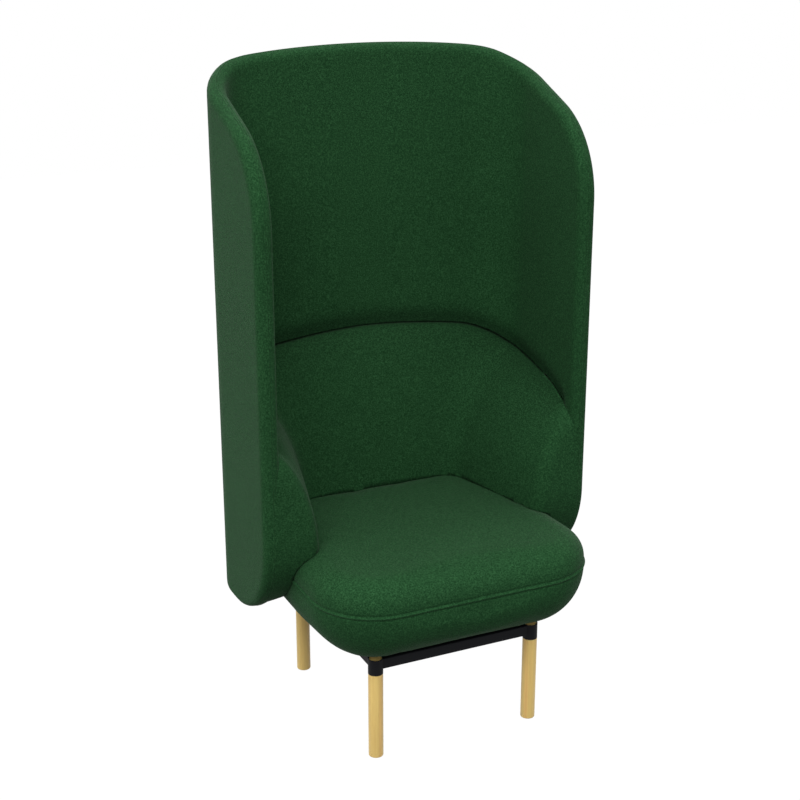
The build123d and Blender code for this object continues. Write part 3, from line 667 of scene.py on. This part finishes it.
def rim_reach(angle, line):
    """Reach of the rim's section, as part of the half wall: nearly half round, squarer at the bottom."""
    power = rim_power + low_rim_power * max(0.0, line.y)
    return (math.cos(angle) ** power + math.sin(angle) ** power) ** (-1 / power)


def rim_rings(mesh, side, arcs, lip):
    """Rings of a cover from the seam in the rim's middle, over its round and on to the wall's face."""
    rings = []
    for arc in arcs:
        angle = arc / half_wall
        ring = []
        for (run, z), line in zip(ring_line, inward_lines):
            if angle < math.pi / 2:
                reach = rim_reach(angle, line) * (half_wall - lip(arc))
                depth = half_wall - reach * math.cos(angle)
                offset = reach * math.sin(angle)
            else:
                depth = half_wall + arc - half_wall * math.pi / 2
                offset = half_wall - lip(arc)
            flat_run, flat_z = run + line.x * depth, z + line.y * depth
            x, y = wall_place(flat_run, side * offset)
            ring.append((mesh.verts.new((x, y, flat_z)), flat_run, flat_z))
        rings.append(ring)
    for outer, inner in zip(rings, rings[1:]):
        for number in range(ring_count):
            after = (number + 1) % ring_count
            mesh.faces.new((outer[number][0], outer[after][0], inner[after][0], inner[number][0]))
    return rings[-1]


def face_grid(mesh, side, last):
    """A grid over the wall's face inside the last ring. Returns how deep each vertex is in the crease, used
    as painted shade in the felt's colour.
    """
    across = 2 * top_steps
    top = [last[(number - top_steps) % ring_count] for number in range(across + 1)]
    right = [last[top_steps + number] for number in range(nose_steps + 1)]
    bottom = [last[(top_steps + nose_steps + across - number) % ring_count] for number in range(across + 1)]
    left = [last[(ring_count - top_steps - number) % ring_count] for number in range(nose_steps + 1)]
    grid = [[item[0] for item in top]]
    painted_shade_marks = [0.0] * len(mesh.verts)
    for row in range(1, nose_steps):
        v = row / nose_steps
        line = [left[row][0]]
        for column in range(1, across):
            u = column / across
            flat = []
            for k in (1, 2):
                value = (1 - v) * top[column][k] + v * bottom[column][k]
                value += (1 - u) * left[row][k] + u * right[row][k]
                value -= (1 - u) * (1 - v) * top[0][k] + u * (1 - v) * top[-1][k]
                value -= (1 - u) * v * bottom[0][k] + u * v * bottom[-1][k]
                flat.append(value)
            pull = pull_at(flat[0]) if side < 0 else 0.0
            # painted shade: the felt is painted darker along the crease, fading over shade_width
            painted_shade_marks.append(pull * valley(*flat, shade_width))
            sink = crease_depth * pull * valley(*flat, crease_width)
            x, y = wall_place(flat[0], side * (half_wall - sink))
            line.append(mesh.verts.new((x, y, flat[1])))
        line.append(right[row][0])
        grid.append(line)
    grid.append([item[0] for item in bottom])
    for upper, lower in zip(grid, grid[1:]):
        for column in range(across):
            mesh.faces.new((upper[column], upper[column + 1], lower[column + 1], lower[column]))
    return painted_shade_marks


def cover(name, side, arcs, lip):
    """One felt cover, on the outer side (1) or the inner side (-1) of the wall."""
    mesh = bmesh.new()
    last = rim_rings(mesh, side, arcs, lip)
    painted_shade_marks = face_grid(mesh, side, last)
    bmesh.ops.recalc_face_normals(mesh, faces=mesh.faces)
    data = bpy.data.meshes.new(name)
    mesh.to_mesh(data)
    mesh.free()
    # the crease attribute carries the painted shade for the felt's colour
    painted_shade_layer = data.attributes.new("crease", "FLOAT", "POINT")
    for vertex, painted_shade in enumerate(painted_shade_marks):
        painted_shade_layer.data[vertex].value = painted_shade
    piece = new_object(name, data)
    make_active(piece)
    middle = data.polygons[len(data.polygons) // 2 + ring_count]
    if middle.normal.y * middle.center.y * side < 0:
        bpy.ops.object.mode_set(mode="EDIT")
        bpy.ops.mesh.select_all(action="SELECT")
        bpy.ops.mesh.flip_normals()
        bpy.ops.object.mode_set(mode="OBJECT")
    thicken(piece)
    finish_felt(piece)
    return piece


def seam_lip(arc):
    """How far the felt sinks near the rim's seam: its edge stands up and a thin groove follows."""
    return 0.0007 * math.exp(-((arc - 0.0025) / 0.0010) ** 2) - 0.0008 * math.exp(-(arc / 0.0011) ** 2)


def felled_lip(arc):
    """The same, with the raised line of the inner cover's turned-in edge 5 mm in."""
    return seam_lip(arc) - 0.0006 * math.exp(-((arc - 0.0050) / 0.0008) ** 2)


lip_arcs = [0.0, 0.0005, 0.0011, 0.0018, 0.003]
face_arcs = [0.015, 0.019, 0.023, 0.0283, 0.034, 0.042]
outer_arcs = lip_arcs + [0.005, 0.008, 0.0115] + face_arcs
inner_arcs = lip_arcs + [0.0040, 0.0045, 0.0050, 0.0055, 0.0060, 0.007, 0.009, 0.012, 0.0155] + face_arcs[1:]
outer_cover = cover("shell_outer_cover_felt", 1.0, outer_arcs, seam_lip)
inner_cover = cover("shell_inner_cover_felt", -1.0, inner_arcs, felled_lip)
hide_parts("shell_outer_cover", "shell_foam")
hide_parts("shell_inner_cover")

# ---- Inner pad ----
# Backrest and arms are one moulded foam U in the same felt. It is thick at the seat, rolls over to
# nothing where it meets the shell, and its front faces run flush into the rim's seam.
pad_low_z, pad_seat_z = 0.318, 0.445
pad_seam_x, pad_front_round = 0.370, 0.034
arm_fore_x, arm_fore_y = 0.262, -0.0725
arm_rear_x, arm_rear_y = 0.210, 0.1315
pad_back_y, pad_bow_rise, pad_bow_angle = 0.2045, 0.008, 0.102
pad_bend = 0.046
inner_face, cover_gap = 0.352, 0.0006
pad_rows, row_closing = 46, 1.35
# the lower edge rises by this near the arm's front, where the rim's lower corner turns in
low_rise = [(0, 0.0), (face_steps + 2, 0.034), (arm_at, 0.034), (arm_at + 10, 0.0)]
fullness_rise = [(0, 0.75), (bend_at, 0.70), (rear_at, 0.50), (pad_columns, 0.42)]
fullness_line = [smooth_line(fullness_rise, column) for column in range(pad_columns + 1)]


def share_left(z, crease, fullness):
    """Part of the pad's full thickness that is left at a height."""
    if z <= pad_seat_z:
        return 1.0
    part = min(1.0, (z - pad_seat_z) / (crease - pad_seat_z))
    return (1.0 - part ** 2) ** fullness


def front_y_at(z):
    """Front line of the wing at a height: it recedes along the rounded lower corner."""
    centre = shell_bottom + low_corner
    if z >= centre:
        return nose_y
    return nose_y + low_corner - math.sqrt(max(0.0, low_corner ** 2 - (centre - z) ** 2))


def arc_points(centre, radius, start, end, steps):
    return [(centre[0] + radius * math.cos(start + (end - start) * n / steps),
             centre[1] + radius * math.sin(start + (end - start) * n / steps)) for n in range(steps + 1)]


def line_points(start, end, steps):
    return [(start[0] + (end[0] - start[0]) * n / steps,
             start[1] + (end[1] - start[1]) * n / steps) for n in range(steps + 1)]


def base_line(z):
    """Plan of the pad's face at the seat, from the rim's seam to the middle of the back."""
    front = front_y_at(z)
    flare = (arm_fore_x - arm_rear_x) / (arm_rear_y - arm_fore_y)
    lean = math.atan(flare)
    # front corner: round between the front line and the arm's face
    centre_y = front + pad_front_round
    centre_x = arm_rear_x + (arm_rear_y - centre_y) * flare + pad_front_round / math.cos(lean)
    face = line_points((pad_seam_x, front), (centre_x, front), face_steps)
    corner = arc_points((centre_x, centre_y), pad_front_round, -math.pi / 2, lean - math.pi, round_steps)
    # rear corner between the arm's face and the bowed back
    bend_y = pad_back_y - pad_bow_rise - pad_bend
    bend_x = arm_rear_x + (arm_rear_y - bend_y) * flare - pad_bend / math.cos(lean)
    rear_corner = arc_points((bend_x, bend_y), pad_bend, lean, math.pi / 2 - pad_bow_angle, bend_steps)
    arm = line_points(corner[-1], rear_corner[0], arm_steps)
    end_x, end_y = rear_corner[-1]
    rear = []
    for n in range(rear_steps + 1):
        x = end_x * (1 - n / rear_steps)
        rear.append((x, end_y + (pad_back_y - end_y) * (1 - (x / end_x) ** 2)))
    return face[:-1] + corner[:-1] + arm[:-1] + rear_corner[:-1] + rear


def wall_line(z):
    """Plan of the shell's inside, from the rim's seam to the middle of the back, step for step."""
    arm_front = front_y_at(z) + half_wall
    rim = (inner_face + half_wall, arm_front)
    rim_radius = half_wall - cover_gap
    face = arc_points(rim, rim_radius, -math.pi / 2, -3 * math.pi / 4, face_steps)
    rounding = arc_points(rim, rim_radius, -3 * math.pi / 4, -math.pi, round_steps)
    x = inner_face + cover_gap
    arm = line_points((x, arm_front), (x, corner_y), arm_steps)
    bend = arc_points((corner_x, corner_y), corner_radius - half_wall + cover_gap, 0.0, turn, bend_steps)
    rear = arc_points((0.0, bow_y), bow_radius - half_wall + cover_gap, turn, math.pi / 2, rear_steps)
    return face[:-1] + rounding[:-1] + arm[:-1] + bend[:-1] + rear


def whole(row):
    """A row from the left front round the back to the right front, from its right half."""
    return [(-x, y, z) for x, y, z in row[:-1]] + row[::-1]


def build_pad():
    """Rows from the lower edge to the crease, each drawn from the wall towards the pad's face."""
    faces_in, faces_out, painted_shade_marks = [], [], []
    # behind the arms the plan is the same at every height
    back_lines = base_line(shell_top), wall_line(shell_top)
    for row in range(pad_rows + 1):
        t = row / pad_rows
        inner_row, outer_row, painted_shade_row = [], [], []
        for column in range(pad_columns + 1):
            crease = crease_line[column]
            low = pad_low_z + smooth_line(low_rise, column)
            z = low + (crease - low) * (1 - (1 - t) ** row_closing)
            base, behind = (base_line(z), wall_line(z)) if column < bend_at else back_lines
            (bx, by), (wx, wy) = base[column], behind[column]
            left = share_left(z, crease, fullness_line[column])
            pull = pull_at(crease_runs[column]) * (1 - left) ** 4
            inside = left - crease_depth * pull / math.dist((bx, by), (wx, wy))
            sunk_z = z - crease_dip * pull
            inner_row.append((wx + (bx - wx) * inside, wy + (by - wy) * inside, sunk_z))
            outer_row.append((wx, wy, sunk_z))
            # painted shade: how much darker the felt is painted towards the crease
            painted_shade_row.append(pull_at(crease_runs[column]) * (1 - left) ** 2.2)
        faces_in.append(whole(inner_row))
        faces_out.append(whole(outer_row))
        painted_shade_marks.append(painted_shade_row[:-1] + painted_shade_row[::-1])
    mesh = bmesh.new()
    # the crease attribute carries the painted shade for the felt's colour
    painted_shade_layer = mesh.verts.layers.float.new("crease")
    inner = [[mesh.verts.new(point) for point in row] for row in faces_in]
    for row, painted_shade_row in zip(inner, painted_shade_marks):
        for vertex, painted_shade in zip(row, painted_shade_row):
            vertex[painted_shade_layer] = painted_shade
    outer = [[mesh.verts.new(point) for point in row] for row in faces_out[:-1]] + [inner[-1]]
    for low, high in zip(inner, inner[1:]):
        for n in range(len(low) - 1):
            mesh.faces.new((low[n], low[n + 1], high[n + 1], high[n]))
    for low, high in zip(outer, outer[1:]):
        for n in range(len(low) - 1):
            mesh.faces.new((low[n], high[n], high[n + 1], low[n + 1]))
    for n in range(len(inner[0]) - 1):
        mesh.faces.new((inner[0][n], outer[0][n], outer[0][n + 1], inner[0][n + 1]))
    for end in (0, -1):
        for a, b, c, d in zip(inner, inner[1:], outer, outer[1:]):
            if b[end] is d[end]:
                mesh.faces.new((a[end], b[end], c[end]))
            else:
                mesh.faces.new((a[end], b[end], d[end], c[end]))
    bmesh.ops.remove_doubles(mesh, verts=mesh.verts, dist=0.00002)
    bmesh.ops.recalc_face_normals(mesh, faces=mesh.faces)
    data = bpy.data.meshes.new("pad_form")
    mesh.to_mesh(data)
    mesh.free()
    return new_object("pad_felt", data)


pad = build_pad()

# room for the seat's form, made a little larger than the seat itself
room = new_object("seat_room", seat.data.copy())
make_active(room)
bpy.ops.object.mode_set(mode="EDIT")
bpy.ops.mesh.select_all(action="SELECT")
bpy.ops.mesh.remove_doubles(threshold=0.00002)
bpy.ops.object.mode_set(mode="OBJECT")
normals = [v.normal.copy() for v in room.data.vertices]
for vertex, normal in zip(room.data.vertices, normals):
    vertex.co += normal * 0.0008
cut = pad.modifiers.new("seat_room", "BOOLEAN")
cut.operation = "DIFFERENCE"
cut.solver = "MANIFOLD"
cut.object = room
apply_modifiers(pad)
bpy.data.objects.remove(room)
bpy.data.objects.remove(seat)
finish_felt(pad)
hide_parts("pad_cover", "pad_foam")

# ---- Studio ----
# White sweep without a horizon, a large soft key from the front left, a small low lamp from the
# left and even light from all sides, brighter from above.
def seen_directly(tree):
    """1 for what the camera, a reflection or a clear material shows, 0 for light on the object."""
    rays = node(tree, "ShaderNodeLightPath").outputs
    shown = calculate(tree, "MAXIMUM", rays["Is Camera Ray"], rays["Is Glossy Ray"])
    return calculate(tree, "MAXIMUM", shown, rays["Is Transmission Ray"])


def show(tree, amount, hidden, shown, output_kind):
    """Ends a tree in a mix of what only lights the object and what is shown."""
    blend = node(tree, "ShaderNodeMixShader")
    for socket, value in zip(blend.inputs, (amount, hidden, shown)):
        tree.links.new(value, socket)
    surface = node(tree, output_kind)
    tree.links.new(blend.outputs["Shader"], surface.inputs["Surface"])


deselect_all()
bpy.ops.mesh.primitive_plane_add(size=14.0, location=(0.0, 0.0, 0.0))
floor = bpy.context.object
floor.name = "studio_floor"
floor_material = bpy.data.materials.new("studio_white")
floor_material.use_nodes = True
tree = floor_material.node_tree
tree.nodes.clear()
paper = node(tree, "ShaderNodeBsdfDiffuse")
paper.inputs["Color"].default_value = (0.10, 0.10, 0.10, 1.0)
glow = node(tree, "ShaderNodeEmission")
glow.inputs["Color"].default_value = (1.0, 1.0, 1.0, 1.0)
glow.inputs["Strength"].default_value = 1.14
amount = calculate(tree, "MULTIPLY", seen_directly(tree), 0.88)
show(tree, amount, paper.outputs["BSDF"], glow.outputs["Emission"], "ShaderNodeOutputMaterial")
floor.data.materials.append(floor_material)

world = bpy.data.worlds.new("studio")
bpy.context.scene.world = world
world.use_nodes = True
tree = world.node_tree
tree.nodes.clear()
soft = node(tree, "ShaderNodeBackground")
soft.inputs["Color"].default_value = (1.0, 1.0, 1.0, 1.0)
sky = node(tree, "ShaderNodeTexCoord")
height = node(tree, "ShaderNodeSeparateXYZ")
tree.links.new(sky.outputs["Generated"], height.inputs["Vector"])
tree.links.new(spread(tree, height.outputs["Z"], -0.1, 1.0, 0.18, 2.00), soft.inputs["Strength"])
white = node(tree, "ShaderNodeBackground")
white.inputs["Color"].default_value = (1.0, 1.0, 1.0, 1.0)
white.inputs["Strength"].default_value = 1.0
show(tree, seen_directly(tree), soft.outputs["Background"], white.outputs["Background"],
     "ShaderNodeOutputWorld")


def lamp(name, place, target, size, power):
    data = bpy.data.lights.new(name, "AREA")
    data.shape = "SQUARE"
    data.size = size
    data.energy = power
    made = new_object(name, data)
    made.location = place
    made.rotation_euler = (Vector(target) - Vector(place)).to_track_quat("-Z", "Y").to_euler()


lamp("key", (-2.0, -2.6, 3.5), target=(0.0, 0.0, 0.8), size=2.2, power=81.0)
lamp("left", (-3.1, 0.5, 0.40), target=(0.0, 0.0, 0.15), size=1.4, power=15.0)
